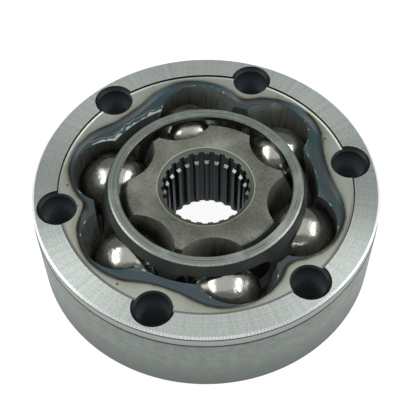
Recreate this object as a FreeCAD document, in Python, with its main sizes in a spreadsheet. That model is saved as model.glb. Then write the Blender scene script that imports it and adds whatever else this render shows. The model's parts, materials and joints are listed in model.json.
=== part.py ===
import FreeCAD, Part
import os
import re

import Sketcher
from FreeCAD import Placement, Rotation, Vector

# Cross-groove constant-velocity joint: an outer race, an inner race, a cage and six balls.
# Millimetres. The joint's axis is Z, the outer race stands on z = 0, and ball_1 lies on +X.
# Neighbouring tracks lean opposite ways, and each outer track leans against the inner one.

# Driving dimensions
DRIVING = {
    "ball_diameter": 22.2,        # seven eighths of an inch, rounded
    "pitch_radius": 31.0,         # axis of the joint to the middle of a track
    "skew_angle": 15.0,           # lean of a track from the joint's axis, in degrees
    "track_clearance": 0.65,      # track radius over ball radius
    "ball_seat": 0.28,            # ball centre outside the track's own middle line at rest
    "race_width": 29.5,           # outer race, face to face
    "race_wall": 11.25,           # behind the bottom of an outer track
    "rim_step": 0.25,             # the rim above the witness line is this much smaller
    "rim_step_depth": 4.4,        # top face down to the witness line
    "rim_chamfer": 0.7,
    "face_recess": 0.6,           # inner part of each face lies this far below the rim
    "bore_clearance": 1.3,        # cage to the lands of the outer race
    "bolt_edge": 8.0,             # rim to the middle of a bolt hole
    "bolt_count": 6,
    "bolt_hole": 10.5,            # clearance for a 10 mm screw
    "hole_chamfer": 0.6,
    "lobe_reach": 1.4,            # mouth of a track over the track itself, at the top face
    "lobe_arc": 18.5,             # radius of the wave's outward arcs
    "lobe_lean": 2.3,             # each lobe follows its track's lean by this angle, in degrees
    "narrow_arc": 4.8,            # radius of the wave's narrow inward arcs
    "wide_arc": 46.0,
    "mouth_angle": 44.0,          # slope of the mouth's wall from the joint's axis, in degrees
    "mouth_depth": 1.3,           # from the recessed face down to the mouth's flat shelf
    "back_mouth_trim": 1.2,       # the mouth of the back face is this much smaller
    "centre_height": 15.3,        # middle of the mechanism over the back face
    "cage_wall": 2.9,
    "cage_over_ball": 2.35,       # cage sphere outside the pitch radius of the balls
    "cage_height": 30.4,
    "cage_bevel": 0.5,
    "window_fit": 0.1,            # above and below a ball
    "window_corner": 4.0,
    "travel_share_a": 0.042,      # sideways room each side of balls 1 and 4, over pitch_radius
    "travel_share_b": 0.065,      # balls 2 and 5
    "travel_share_c": 0.128,      # balls 3 and 6
    "hub_clearance": 2.7,         # inner race to the inside of the cage
    "hub_width": 27.4,
    "hub_edge": 0.4,              # broken edge of the inner race
    "spline_teeth": 25,
    "hub_wall": 5.4,              # inner race, from the roots of its spline to its tracks
    "tooth_height": 1.35,
    "tooth_tip": 1.15,            # width of a tooth at its tip
    "tooth_root": 1.85,           # width of a tooth at its root
    "lead_in_relief": 0.8,        # the teeth's first stretch is this much lower
    "lead_in_depth": 4.4,
    "bore_chamfer": 1.9,
}

# Sizes that follow from them
DERIVED = {
    "ball_radius": "ball_diameter / 2",
    "groove_radius": "ball_radius + track_clearance",
    "ball_pitch": "pitch_radius + ball_seat",
    "race_radius": "pitch_radius + groove_radius + race_wall",
    "bolt_circle": "race_radius - bolt_edge",
    "cage_outer": "ball_pitch + cage_over_ball",
    "cage_inner": "cage_outer - cage_wall",
    "cage_top": "centre_height + cage_height / 2",
    "cage_bottom": "centre_height - cage_height / 2",
    "bore_radius": "cage_outer + bore_clearance",
    "hub_radius": "cage_inner - hub_clearance",
    "hub_top": "centre_height + hub_width / 2",
    "hub_bottom": "centre_height - hub_width / 2",
    "major_radius": "pitch_radius - groove_radius - hub_wall",
    "minor_radius": "major_radius - tooth_height",
    "lead_in_radius": "minor_radius + lead_in_relief",
    "half_tip_space": "(pi * minor_radius * 2 / spline_teeth - tooth_tip) / 2",
    "half_root_space": "(pi * major_radius * 2 / spline_teeth - tooth_root) / 2",
    "mouth_reach": "pitch_radius + groove_radius + lobe_reach",
    "lobe_centre": "mouth_reach - lobe_arc",
    "narrow_half": "30 - lobe_lean",
    "wide_half": "30 + lobe_lean",
    "narrow_far": "sqrt((lobe_arc + narrow_arc) ^ 2 - (lobe_centre * sin(narrow_half)) ^ 2)",
    "wide_far": "sqrt((lobe_arc + wide_arc) ^ 2 - (lobe_centre * sin(wide_half)) ^ 2)",
    "narrow_centre": "lobe_centre * cos(narrow_half) + narrow_far",
    "wide_centre": "lobe_centre * cos(wide_half) + wide_far",
    "narrow_reach": "narrow_centre - narrow_arc",
    "wide_reach": "wide_centre - wide_arc",
    "track_length": "3 * race_width",
}

WORDS = re.compile(r"\b(?!(?:sqrt|sin|cos|tan|pi)\b)([a-z][a-z_]*)\b")
OUTER_HAND = 1     # outer tracks on +X lean towards -Y as they rise
INNER_HAND = -1    # inner tracks lean the other way
BALLS = 6
HALF_SECTOR = 180 / BALLS

doc = FreeCAD.newDocument("cv_joint")
sheet = doc.addObject("Spreadsheet::Sheet", "dims")


def fill_sheet():
    """Writes every size to the sheet, one row each: its name, then its value or formula."""
    row = 1
    for name, value in {**DRIVING, **DERIVED}.items():
        text = f"={value}" if isinstance(value, str) else str(value)
        sheet.set(f"A{row}", name)
        sheet.set(f"B{row}", text)
        sheet.setAlias(f"B{row}", name)
        row += 1
    doc.recompute()


def cells(text):
    """Turns plain names into references to the sheet's cells."""
    return WORDS.sub(r"dims.\1", text)


def value(text):
    """The number that a size or a sum of sizes comes to."""
    return float(sheet.evalExpression(cells(text)))


def bind(thing, **sizes):
    """Binds properties of an object to the sheet. A double underscore stands for a dot."""
    for prop, text in sizes.items():
        thing.setExpression(prop.replace("__", "."), cells(text))


def new_body(label):
    body = doc.addObject("PartDesign::Body", label)
    body.Label = label
    return body


def new_sketch(body, name, plane, turn=None, lift=None):
    """A sketch on one of the body's origin planes, turned about or lifted from it."""
    sketch = body.newObject("Sketcher::SketchObject", name)
    base = next(item for item in body.Origin.OriginFeatures if item.Role == plane)
    sketch.AttachmentSupport = [(base, "")]
    sketch.MapMode = "FlatFace"
    if turn is not None:
        sketch.AttachmentOffset = Placement(Vector(), Rotation(Vector(0, 1, 0), turn))
    if lift is not None:
        bind(sketch, AttachmentOffset__Base__z=lift)
    return sketch


def pin_point(sketch, geometry, corner, point):
    """Holds a sketch point at two sizes measured from the origin."""
    for kind, axis, text in (("DistanceX", -2, point[0]), ("DistanceY", -1, point[1])):
        if text == "0":
            sketch.addConstraint(Sketcher.Constraint("PointOnObject", geometry, corner, axis))
            continue
        rule = Sketcher.Constraint(kind, -1, 1, geometry, corner, value(text))
        index = sketch.addConstraint(rule)
        sketch.setExpression(f"Constraints[{index}]", cells(text))


def draw_outline(sketch, corners, arcs=None):
    """A closed outline through corners given as pairs of sizes.

    arcs maps the number of a corner to the radius and the middle point of the arc that starts there.
    """
    arcs = arcs or {}
    spots = [Vector(value(across), value(along), 0) for across, along in corners]
    points = []
    for number, (start, end) in enumerate(zip(spots, spots[1:] + spots[:1])):
        points.append((1, 2))
        if number not in arcs:
            sketch.addGeometry(Part.LineSegment(start, end), False)
            continue
        across, along = arcs[number][1]
        bulge = Vector(value(across), value(along), 0)
        if (bulge - start).cross(end - bulge).z < 0:
            # A sketch's arcs run anticlockwise, so this one is drawn from its far end
            start, end = end, start
            points[number] = (2, 1)
        sketch.addGeometry(Part.Arc(start, bulge, end), False)
    for number in range(len(corners)):
        after = (number + 1) % len(corners)
        joint = Sketcher.Constraint("Coincident", number, points[number][1], after, points[after][0])
        sketch.addConstraint(joint)
    for number, point in enumerate(corners):
        pin_point(sketch, number, points[number][0], point)
    for number, (radius, middle) in arcs.items():
        index = sketch.addConstraint(Sketcher.Constraint("Radius", number, value(radius)))
        sketch.setExpression(f"Constraints[{index}]", cells(radius))


def spin(body, name, corners, arcs=None, kind="Revolution"):
    """A half section in X and Z turned about the joint's axis: a solid, or a Groove that cuts."""
    sketch = new_sketch(body, f"{name}_section", "XZ_Plane")
    draw_outline(sketch, corners, arcs)
    turned = body.newObject(f"PartDesign::{kind}", name)
    turned.Profile = sketch
    turned.ReferenceAxis = (sketch, ["V_Axis"])
    turned.Angle = 360
    return turned


def repeat(body, feature, count):
    """Copies a feature round the joint's axis and makes the copies count."""
    pattern = body.newObject("PartDesign::PolarPattern", f"{feature.Name}_ring")
    pattern.Originals = [feature]
    axis = next(item for item in body.Origin.OriginFeatures if item.Role == "Z_Axis")
    pattern.Axis = (axis, [""])
    pattern.Angle = 360
    bind(pattern, Occurrences=str(count))
    body.Tip = pattern
    return pattern


def cut_tracks(body, hand):
    """Six skewed ball tracks: a straight round cutter on each side of the axis, three times round."""
    for name, side in (("track", 1), ("cross_track", -1)):
        cutter = body.newObject("PartDesign::SubtractiveCylinder", f"{body.Name}_{name}")
        base = next(item for item in body.Origin.OriginFeatures if item.Role == "XY_Plane")
        cutter.AttachmentSupport = [(base, "")]
        cutter.MapMode = "FlatFace"
        cutter.AttachmentOffset = Placement(Vector(), Rotation(Vector(1, 0, 0), hand))
        bind(
            cutter,
            Radius="groove_radius",
            Height="track_length",
            AttachmentOffset__Rotation__Angle=f"{hand} * skew_angle",
            AttachmentOffset__Base__x=f"{side} * pitch_radius",
            AttachmentOffset__Base__y=f"{hand} * sin(skew_angle) * track_length / 2",
            AttachmentOffset__Base__z="centre_height - cos(skew_angle) * track_length / 2",
        )
        repeat(body, cutter, BALLS // 2)


def wave_outline(sketch, shrink, lean):
    """The wavy mouth of the outer race: twelve arcs that meet smoothly, moved inwards by shrink.

    Each lobe stands beside its track's middle, towards the land that its track leans to. Those
    lands are narrow, and the others are wide. lean is 1 on the top face and -1 on the back.
    """
    corners = []
    arcs = {}
    for number in range(2 * BALLS):
        place = HALF_SECTOR * number
        if number % 2:
            kind = "narrow" if (number % 4 == 3) == (lean > 0) else "wide"
            reach = f"({kind}_reach - ({shrink}))"
            radius = f"{kind}_arc + ({shrink})"
            angle = f"({place})"
            corners += [meeting(number, side, shrink, lean) for side in (-1, 1)]
        else:
            reach = f"(mouth_reach - ({shrink}))"
            radius = f"lobe_arc - ({shrink})"
            angle = lobe_angle(number, lean)
        arcs[(number - 1) % (2 * BALLS)] = (radius, (f"{reach} * cos{angle}", f"{reach} * sin{angle}"))
    draw_outline(sketch, corners, arcs)


def lobe_angle(number, lean):
    """Where a lobe stands, as an angle: its own sector, then a little towards its track's lean."""
    side = lean if number % 4 else -lean
    return f"({HALF_SECTOR * number} + {side} * lobe_lean)"


def meeting(number, side, shrink, lean):
    """The point where the land of this number meets the lobe on one side of it."""
    kind = "narrow" if (number % 4 == 3) == (lean > 0) else "wide"
    share = f"(lobe_arc - ({shrink})) / (lobe_arc + {kind}_arc)"
    lobe = lobe_angle((number + side) % (2 * BALLS), lean)
    land = f"({HALF_SECTOR * number})"
    return tuple(
        f"lobe_centre * {turn}{lobe} + {share} * ({kind}_centre * {turn}{land} - lobe_centre * {turn}{lobe})"
        for turn in ("cos", "sin")
    )


def cut_mouth(body, name, face, lean, trim):
    """The wavy mouth of one face: a sloping wall from just outside the face, and a flat shelf."""
    sections = []
    for end, depth in (("outside", "-1"), ("inside", "mouth_depth")):
        lift = f"{face} - ({lean}) * ({depth})"
        sketch = new_sketch(body, f"{name}_{end}", "XY_Plane", lift=lift)
        wave_outline(sketch, f"{trim} + ({depth}) * tan(mouth_angle)", lean)
        sections.append(sketch)
    mouth = body.newObject("PartDesign::SubtractiveLoft", name)
    mouth.Profile = sections[0]
    mouth.Sections = [sections[1]]
    mouth.Ruled = True
    return mouth


def build_outer_race():
    body = new_body("outer_race")
    rim = "race_radius - rim_step"
    spin(body, "ring", [
        ("bore_radius", "face_recess"),
        ("bolt_circle", "face_recess"),
        ("bolt_circle", "0"),
        ("race_radius - rim_chamfer", "0"),
        ("race_radius", "rim_chamfer"),
        ("race_radius", "race_width - rim_step_depth - rim_step"),
        (rim, "race_width - rim_step_depth"),
        (rim, "race_width - rim_chamfer"),
        (f"{rim} - rim_chamfer", "race_width"),
        ("bolt_circle", "race_width"),
        ("bolt_circle", "race_width - face_recess"),
        ("bore_radius", "race_width - face_recess"),
    ])
    cut_mouth(body, "top_mouth", "race_width - face_recess", 1, "0")
    cut_mouth(body, "back_mouth", "face_recess", -1, "back_mouth_trim")
    cut_tracks(body, OUTER_HAND)
    # One bolt hole, with both its edges broken, turned about its own middle line
    sketch = new_sketch(body, "bolt_section", "XZ_Plane", turn=HALF_SECTOR)
    wall = "bolt_circle + bolt_hole / 2"
    flare = f"{wall} + hole_chamfer + 2 * face_recess"
    draw_outline(sketch, [
        ("bolt_circle", "-face_recess"),
        (flare, "-face_recess"),
        (wall, "hole_chamfer + face_recess"),
        (wall, "race_width - hole_chamfer - face_recess"),
        (flare, "race_width + face_recess"),
        ("bolt_circle", "race_width + face_recess"),
    ])
    middle = Part.LineSegment(Vector(value("bolt_circle"), 0, 0), Vector(value("bolt_circle"), 1, 0))
    line = sketch.addGeometry(middle, True)
    pin_point(sketch, line, 1, ("bolt_circle", "0"))
    pin_point(sketch, line, 2, ("bolt_circle", "race_width"))
    hole = body.newObject("PartDesign::Groove", "bolt_hole")
    hole.Profile = sketch
    hole.ReferenceAxis = (sketch, ["Axis0"])
    hole.Angle = 360
    repeat(body, hole, "bolt_count")
    return body


def build_ball_cage():
    body = new_body("ball_cage")
    outer = "sqrt(cage_outer ^ 2 - (cage_height / 2 - cage_bevel) ^ 2)"
    inner = "sqrt(cage_inner ^ 2 - (cage_height / 2 - cage_bevel) ^ 2)"
    spin(body, "sphere", [
        ("0", "cage_bottom"),
        (f"{outer} - cage_bevel", "cage_bottom"),
        (outer, "cage_bottom + cage_bevel"),
        (outer, "cage_top - cage_bevel"),
        (f"{outer} - cage_bevel", "cage_top"),
        ("0", "cage_top"),
    ], {2: ("cage_outer", ("cage_outer", "centre_height"))})
    spin(body, "hollow", [
        ("0", "cage_bottom - cage_bevel"),
        (f"{inner} + cage_bevel", "cage_bottom - cage_bevel"),
        (inner, "cage_bottom + cage_bevel"),
        (inner, "cage_top - cage_bevel"),
        (f"{inner} + cage_bevel", "cage_top + cage_bevel"),
        ("0", "cage_top + cage_bevel"),
    ], {2: ("cage_inner", ("cage_inner", "centre_height"))}, kind="Groove")
    for order, share in enumerate(("travel_share_a", "travel_share_b", "travel_share_c")):
        cut_window_pair(body, order, f"(ball_radius + {share} * pitch_radius)")
    return body


def cut_window_pair(body, order, half_width):
    """Two windows with rounded corners, opposite each other, cut by one pocket through the cage."""
    sketch = new_sketch(body, f"window_{order + 1}_outline", "YZ_Plane", turn=2 * HALF_SECTOR * order)
    half_height = "ball_radius + window_fit"
    bend = "window_corner * (1 - sqrt(0.5))"
    corners = []
    arcs = {}
    for across, up in ((1, -1), (1, 1), (-1, 1), (-1, -1)):
        side = (f"{across} * {half_width}", f"centre_height + {up} * ({half_height} - window_corner)")
        edge = (f"{across} * ({half_width} - window_corner)", f"centre_height + {up} * ({half_height})")
        first, last = (edge, side) if across * up < 0 else (side, edge)
        arcs[len(corners)] = (
            "window_corner",
            (f"{across} * ({half_width} - {bend})", f"centre_height + {up} * ({half_height} - {bend})"),
        )
        corners += [first, last]
    draw_outline(sketch, corners, arcs)
    pocket = body.newObject("PartDesign::Pocket", f"window_{order + 1}")
    pocket.Profile = sketch
    pocket.Midplane = True
    bind(pocket, Length="4 * cage_outer")
    return pocket


def build_inner_race():
    body = new_body("inner_race")
    shoulder = "sqrt(hub_radius ^ 2 - (hub_width / 2 - hub_edge) ^ 2)"
    spin(body, "hub", [
        ("minor_radius", "hub_bottom + bore_chamfer"),
        ("minor_radius + bore_chamfer", "hub_bottom"),
        (f"{shoulder} - hub_edge", "hub_bottom"),
        (shoulder, "hub_bottom + hub_edge"),
        (shoulder, "hub_top - hub_edge"),
        (f"{shoulder} - hub_edge", "hub_top"),
        ("lead_in_radius + bore_chamfer", "hub_top"),
        ("lead_in_radius", "hub_top - bore_chamfer / 2"),
        ("lead_in_radius", "hub_top - lead_in_depth"),
        ("minor_radius", "hub_top - lead_in_depth - lead_in_relief"),
    ], {3: ("hub_radius", ("hub_radius", "centre_height"))})
    cut_tracks(body, INNER_HAND)
    # One space between two teeth of the spline, wider at the tips than at the root
    sketch = new_sketch(body, "spline_space", "XY_Plane", lift="hub_top + hub_edge")
    start = "minor_radius - tooth_height"
    floor = "sqrt(major_radius ^ 2 - half_root_space ^ 2)"
    flare = "(2 * half_tip_space - half_root_space)"
    draw_outline(sketch, [
        (start, f"-{flare}"),
        (floor, "-half_root_space"),
        (floor, "half_root_space"),
        (start, flare),
    ], {1: ("major_radius", ("major_radius", "0"))})
    space = body.newObject("PartDesign::Pocket", "tooth_space")
    space.Profile = sketch
    bind(space, Length="hub_width + 2 * hub_edge")
    repeat(body, space, "spline_teeth")
    return body


def build_balls():
    """Six balls at rest, in the middle of the cage's windows."""
    balls = []
    for number in range(BALLS):
        ball = doc.addObject("Part::Sphere", f"ball_{number + 1}")
        ball.Label = f"ball_{number + 1}"
        turn = 2 * HALF_SECTOR * number
        bind(
            ball,
            Radius="ball_radius",
            Placement__Base__x=f"ball_pitch * cos({turn})",
            Placement__Base__y=f"ball_pitch * sin({turn})",
            Placement__Base__z="centre_height",
        )
        balls.append(ball)
    return balls


def check_and_write(pieces):
    """Stops on anything that failed, then writes one file for each piece."""
    broken = [item.Name for item in doc.Objects if {"Invalid", "Error"} & set(item.State)]
    if broken:
        raise RuntimeError(f"failed objects: {broken}")
    for piece in pieces:
        shape = piece.Shape
        if shape.isNull() or not shape.isValid() or len(shape.Solids) != 1:
            raise RuntimeError(f"{piece.Label} isn't one valid solid")
    os.makedirs("parts", exist_ok=True)
    for piece in pieces:
        piece.Shape.exportStep(f"parts/{piece.Label}.step")
        box = piece.Shape.optimalBoundingBox(False)
        print(f"{piece.Label}: {piece.Shape.Volume:.0f} mm3, z {box.ZMin:.2f} to {box.ZMax:.2f}")


fill_sheet()
PIECES = [build_outer_race(), build_inner_race(), build_ball_cage(), *build_balls()]
doc.recompute()
check_and_write(PIECES)
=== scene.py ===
# %% [markdown]
# # A cross-groove constant-velocity joint in Blender
#
# The joint comes from a car's half shaft. It has an outer race with six skewed tracks, an inner
# race with a splined bore, a cage and six steel balls. The shapes were made in CAD. This lesson
# gives each piece its real finish, smooth edges and light, so that it looks like the photograph
# of a new joint on a pale table. Blender works in metres, so a size in millimetres is multiplied
# by MM. Everything is built in the CAD model's own place.

import json
from math import atan2, cos, degrees, hypot, pi, radians, sin, sqrt

import bmesh
import bpy
from mathutils import Matrix, Vector


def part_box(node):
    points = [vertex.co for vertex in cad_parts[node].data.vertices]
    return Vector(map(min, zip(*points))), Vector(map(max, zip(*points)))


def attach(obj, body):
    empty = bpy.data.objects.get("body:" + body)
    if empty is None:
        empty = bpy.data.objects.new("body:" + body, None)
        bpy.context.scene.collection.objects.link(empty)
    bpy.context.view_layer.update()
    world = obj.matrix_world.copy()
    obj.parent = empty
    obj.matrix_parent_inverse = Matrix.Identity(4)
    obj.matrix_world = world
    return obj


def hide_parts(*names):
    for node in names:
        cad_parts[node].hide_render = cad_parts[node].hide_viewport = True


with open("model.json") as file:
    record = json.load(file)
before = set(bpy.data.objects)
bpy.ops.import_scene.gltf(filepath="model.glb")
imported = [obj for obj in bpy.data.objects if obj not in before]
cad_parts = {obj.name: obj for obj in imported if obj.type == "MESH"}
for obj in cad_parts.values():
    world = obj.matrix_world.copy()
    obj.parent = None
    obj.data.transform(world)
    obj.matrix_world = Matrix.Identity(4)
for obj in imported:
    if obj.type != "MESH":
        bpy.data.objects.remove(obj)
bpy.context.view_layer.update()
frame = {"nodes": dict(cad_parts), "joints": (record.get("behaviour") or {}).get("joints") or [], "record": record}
MM = 0.001
print("pieces:", sorted(frame["nodes"]))

# %% [markdown]
# ## Sizes that the finishes need
#
# A finish often changes at a size: the turned face ends at a step, and heat colours follow the
# wavy mouth. A typed size goes wrong when the model changes. So the large ones are measured on
# the loaded pieces, and only those that a box can't show are typed. All are in millimetres.

# %% Sizes measured on the loaded pieces
def corners(node):
    """A piece's lowest and highest corners in millimetres, to a hundredth."""
    return [[round(value / MM, 2) for value in corner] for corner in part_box(node)]


RACE_LOW, RACE_HIGH = corners("outer_race")
RACE_WIDTH = RACE_HIGH[2] - RACE_LOW[2]
RACE_RADIUS = RACE_HIGH[0]
BALL_LOW, BALL_HIGH = corners("ball_1")
BALL_RADIUS = (BALL_HIGH[2] - BALL_LOW[2]) / 2
# Every joint's axis passes through the middle of the mechanism
CENTRE_HEIGHT = round(frame["joints"][0]["pos_m"][2] / MM, 2)
MOUNTS = {mount["name"]: mount for mount in frame["record"]["mounts"]}
BOLT_CIRCLE = MOUNTS["flange_bolts"]["dims"]["pcd_mm"] / 2
print("the race is", 2 * RACE_RADIUS, "mm across and", RACE_WIDTH, "mm wide")

# %% Sizes that a box can't show
TRACK_COUNT = 6
TRACK_STEP = 360 / TRACK_COUNT
HALF_STEP = TRACK_STEP / 2
SKEW_ANGLE = 15
PITCH_RADIUS = 31.0
TRACK_CLEARANCE = 0.65
GROOVE_RADIUS = BALL_RADIUS + TRACK_CLEARANCE
BORE_RADIUS = 34.93
FACE_RECESS = 0.6
# The recess in each face ends in a step at the bolts' own circle
STEP_RADIUS = BOLT_CIRCLE
MOUTH_DEPTH = 1.3
print("a track is", 2 * GROOVE_RADIUS, "mm across, and the tracks stand", TRACK_STEP, "degrees apart")

# %% [markdown]
# ## One helper for every node
#
# Colours are written as the sRGB hex values that one reads off a picture, but a shader works on
# linear light, so one function converts them. Nodes placed by hand in the editor leave no steps
# to read. So a second small function adds a node, sets it and links it, and a material becomes a
# list of such calls, like a recipe.
#
# Sockets go by name, or by number where their names repeat. Map Range takes its input 0 from the
# range between inputs 1 and 2 to the one between 3 and 4, and a range that isn't given is 0 to 1.
# Mix goes from input 2 to 3 for numbers, and from 6 to 7 for colours.

# %% Colour, node, object and material helpers
def colour(code):
    """An sRGB hex value as linear red, green, blue and alpha."""
    parts = [int(code[i:i + 2], 16) / 255 for i in (1, 3, 5)]
    return tuple(c / 12.92 if c <= 0.04045 else ((c + 0.055) / 1.055) ** 2.4 for c in parts) + (1.0,)


def add(tree, kind, sockets=None, stops=(), **settings):
    """Adds a node with its settings, its colour stops and its input sockets.

    A node given for a socket stands for its first output in use, and a text for a hex colour.
    """
    node = tree.nodes.new(kind)
    for name, value in settings.items():
        setattr(node, name, value)
    if stops:
        marks = node.color_ramp.elements
        marks.remove(marks[-1])
        marks[0].position, marks[0].color = stops[0][0], colour(stops[0][1])
        for place, code in stops[1:]:
            marks.new(place).color = colour(code)
    for key, value in (sockets or {}).items():
        if isinstance(value, bpy.types.Node):
            value = next(output for output in value.outputs if output.enabled)
        if isinstance(value, bpy.types.NodeSocket):
            tree.links.new(value, node.inputs[key])
        else:
            node.inputs[key].default_value = colour(value) if isinstance(value, str) else value
    return node


def put(name, data):
    """A new object in the scene, at the origin."""
    made = bpy.data.objects.new(name, data)
    bpy.context.scene.collection.objects.link(made)
    return made


def material(name, recipe, *colours):
    """A material whose surface is the shader that the recipe makes in its node tree."""
    made = bpy.data.materials.new(name)
    made.use_nodes = True
    made.node_tree.nodes.clear()
    shader = recipe(made.node_tree, *colours)
    add(made.node_tree, "ShaderNodeOutputMaterial", {"Surface": shader})
    print("made the material", name)
    return made


print("mid grey #808080 is", round(colour("#808080")[0], 3), "in linear light")

# %% [markdown]
# ## Where a point lies on the joint
#
# Nearly every mark on this joint was cut while it turned, so it follows the distance from the
# joint's axis, or the angle around it. An unwrapped map of such marks would have a seam. So a node
# group gives both in millimetres and radians from Object coordinates, which stay with a piece
# when it moves. The axis is the line through each piece's own origin, so they need no centring.

# %% Polar coordinates as a node group
def measuring_group(name, *outputs):
    """An empty shader group that gives these numbers."""
    group = bpy.data.node_groups.new(name, "ShaderNodeTree")
    for output in outputs:
        group.interface.new_socket(output, in_out="OUTPUT", socket_type="NodeSocketFloat")
    return group


def polar_group():
    group = measuring_group("turned_coordinates", "Radius mm", "Angle", "Height mm")
    place = add(group, "ShaderNodeTexCoord")
    split = add(group, "ShaderNodeSeparateXYZ", {0: place.outputs["Object"]})
    flat = add(group, "ShaderNodeCombineXYZ", {0: split.outputs[0], 1: split.outputs[1]})
    length = add(group, "ShaderNodeVectorMath", {0: flat}, operation="LENGTH")
    radius = add(group, "ShaderNodeMath", {0: length, 1: 1 / MM}, operation="MULTIPLY")
    angle = add(group, "ShaderNodeMath", {0: split.outputs[1], 1: split.outputs[0]}, operation="ARCTAN2")
    height = add(group, "ShaderNodeMath", {0: split.outputs[2], 1: 1 / MM}, operation="MULTIPLY")
    add(group, "NodeGroupOutput", {0: radius, 1: angle, 2: height})
    return group


POLAR = polar_group()
print("made the group", POLAR.name)

# %% [markdown]
# The colours of hardening follow the edge of the wavy mouth, so a second group measures the
# distance from that edge. The wave is made of arcs that touch: a lobe at each track, and between
# two lobes a land that bulges inwards, narrow and wide in turn. It repeats every 120 degrees, and
# half of that is the other half's mirror image. The edge could be stored on the mesh as an
# attribute, but that is only as sharp as the mesh is fine. So a point is folded into one sixth of
# the circle, where three arcs are left, and the distance to one of them is exact.

# %% The wavy edge's arcs
LOBE_ARC, NARROW_ARC, WIDE_ARC = 18.5, 4.8, 46.0
# A lobe reaches this far over its track, and leans after it by this angle
LOBE_REACH, LOBE_LEAN = 1.4, 2.3
LOBE_CENTRE = PITCH_RADIUS + GROOVE_RADIUS + LOBE_REACH - LOBE_ARC


def land_distance(half_angle, arc):
    """How far a land's arc has its centre from the axis, so that it meets the lobe's arc smoothly."""
    across = LOBE_CENTRE * sin(radians(half_angle))
    return LOBE_CENTRE * cos(radians(half_angle)) + sqrt((LOBE_ARC + arc) ** 2 - across ** 2)


WIDE_CENTRE = land_distance(HALF_STEP + LOBE_LEAN, WIDE_ARC)
NARROW_CENTRE = land_distance(HALF_STEP - LOBE_LEAN, NARROW_ARC)
print("narrow lands reach in to", round(NARROW_CENTRE - NARROW_ARC, 2), "mm from the axis")
print("wide lands reach in to", round(WIDE_CENTRE - WIDE_ARC, 2), "mm from the axis")


# %% Fold a point into one sixth of the circle
def fold(group, polar, on_back=None):
    """A unit vector at the point's angle, after the repeats and mirror images are laid on one.

    The wave on the back is the front's wave turned by one step, which swaps the two lands.
    """
    angle, step = polar.outputs["Angle"], radians(TRACK_STEP)
    turned = add(group, "ShaderNodeMath", {0: angle, 1: radians(HALF_STEP)}, operation="SUBTRACT")
    wrapped = add(group, "ShaderNodeMath", {0: turned, 1: step, 2: -step}, operation="WRAP")
    folded = add(group, "ShaderNodeMath", {0: wrapped}, operation="ABSOLUTE")
    if on_back is not None:
        swapped = add(group, "ShaderNodeMath", {0: step, 1: folded}, operation="SUBTRACT")
        folded = add(group, "ShaderNodeMix", {"Factor": on_back, 2: folded, 3: swapped}, data_type="FLOAT")
    across = add(group, "ShaderNodeMath", {0: folded}, operation="COSINE")
    along = add(group, "ShaderNodeMath", {0: folded}, operation="SINE")
    return add(group, "ShaderNodeCombineXYZ", {0: across, 1: along})


print("folding lays", TRACK_COUNT, "tracks on one")

# %% Distance from the wavy edge as a node group
# The mouth at the back is this much smaller
BACK_TRIM = 1.2


def wave_group():
    """Millimetres from a face's wavy edge: above 0 on the face, below 0 in the mouth."""
    group = measuring_group("distance_from_wave", "Distance mm")
    polar = add(group, "ShaderNodeGroup", node_tree=POLAR)
    height = polar.outputs["Height mm"]
    on_back = add(group, "ShaderNodeMath", {0: height, 1: CENTRE_HEIGHT}, operation="LESS_THAN")
    folded = fold(group, polar, on_back)
    radius = polar.outputs["Radius mm"]
    point = add(group, "ShaderNodeVectorMath", {0: folded, "Scale": radius}, operation="SCALE")
    lobe_turn, narrow_turn = radians(HALF_STEP + LOBE_LEAN), radians(TRACK_STEP)
    lobe = (LOBE_CENTRE * cos(lobe_turn), LOBE_CENTRE * sin(lobe_turn), 0)
    wide = (WIDE_CENTRE, 0, 0)
    narrow = (NARROW_CENTRE * cos(narrow_turn), NARROW_CENTRE * sin(narrow_turn), 0)
    gaps = []
    for centre, arc, sign in ((lobe, LOBE_ARC, 1), (wide, WIDE_ARC, -1), (narrow, NARROW_ARC, -1)):
        reach = add(group, "ShaderNodeVectorMath", {0: point, 1: centre}, operation="DISTANCE")
        gap = add(group, "ShaderNodeMath", {0: reach, 1: arc}, operation="SUBTRACT")
        gaps.append(add(group, "ShaderNodeMath", {0: gap, 1: sign}, operation="MULTIPLY"))
    # A point belongs to a land where it lies beyond the line from the lobe's centre to the land's
    result = gaps[0]
    from_lobe = add(group, "ShaderNodeVectorMath", {0: point, 1: lobe}, operation="SUBTRACT")
    for land, gap, test in ((wide, gaps[1], "LESS_THAN"), (narrow, gaps[2], "GREATER_THAN")):
        line = tuple(a - b for a, b in zip(land, lobe))
        cross = add(group, "ShaderNodeVectorMath", {0: line, 1: from_lobe}, operation="CROSS_PRODUCT")
        side = add(group, "ShaderNodeSeparateXYZ", {0: cross})
        beyond = add(group, "ShaderNodeMath", {0: side.outputs[2], 1: 0.0}, operation=test)
        result = add(group, "ShaderNodeMix", {"Factor": beyond, 2: result, 3: gap}, data_type="FLOAT")
    trimmed = add(group, "ShaderNodeMath", {0: on_back, 1: BACK_TRIM, 2: result}, operation="MULTIPLY_ADD")
    add(group, "NodeGroupOutput", {0: trimmed})
    return group


WAVE = wave_group()
print("made the group", WAVE.name, "with", len(WAVE.nodes), "nodes")

# %% [markdown]
# Where the ball tracks and the bore run out into the mouth, the cutter left a rolled burr. It lies
# a little outside a track's wall, so a third group measures the distance from the nearest track.
# Six tracks could be measured and the least distance taken, but they are skewed by 15 degrees to
# one side and the other in turn, so after the fold they all are the same track.

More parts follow.
